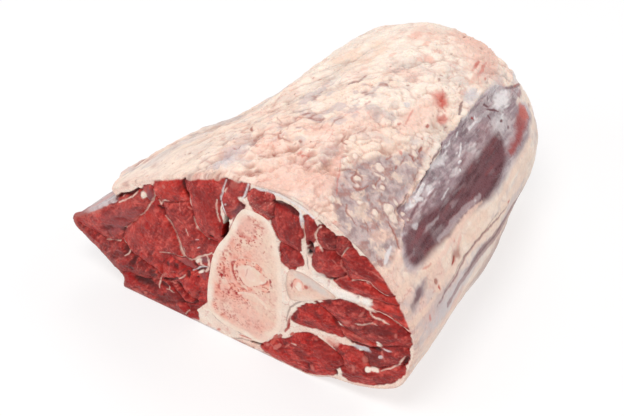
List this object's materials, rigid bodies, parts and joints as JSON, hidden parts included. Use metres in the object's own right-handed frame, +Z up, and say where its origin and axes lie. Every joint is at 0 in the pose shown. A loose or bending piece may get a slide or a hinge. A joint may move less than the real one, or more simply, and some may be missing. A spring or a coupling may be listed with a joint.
{
  "type": "raw beef shank",
  "caption": "Raw beef shank lying on its side: wide cut face with marbled muscles around a long bone and a small one, marrow in both, and a lumpy fat cover along the tapering sides.",
  "frame": {"origin": "middle of the footprint of the bounding box, on the surface that the piece lies on", "axes": "+Z up, Y along the bones from the wide cut face at -Y to the narrow cut face at +Y, X across the cut face"},
  "size_m": [0.2031, 0.19, 0.11],
  "materials": {
    "meat": "moist raw muscle, dark red, with cream seams",
    "fat": "matt to satin cream fat cover with pink and grey membrane",
    "bone": "sawn bone, cream rim and pink spongy middle",
    "marrow": "soft pink and cream marrow, slightly glossy"
  },
  "bodies": {
    "root": {"meat": "meat", "radius_bone": "bone", "ulna_bone": "bone", "radius_marrow": "marrow", "ulna_marrow": "marrow"}
  },
  "joints": []
}
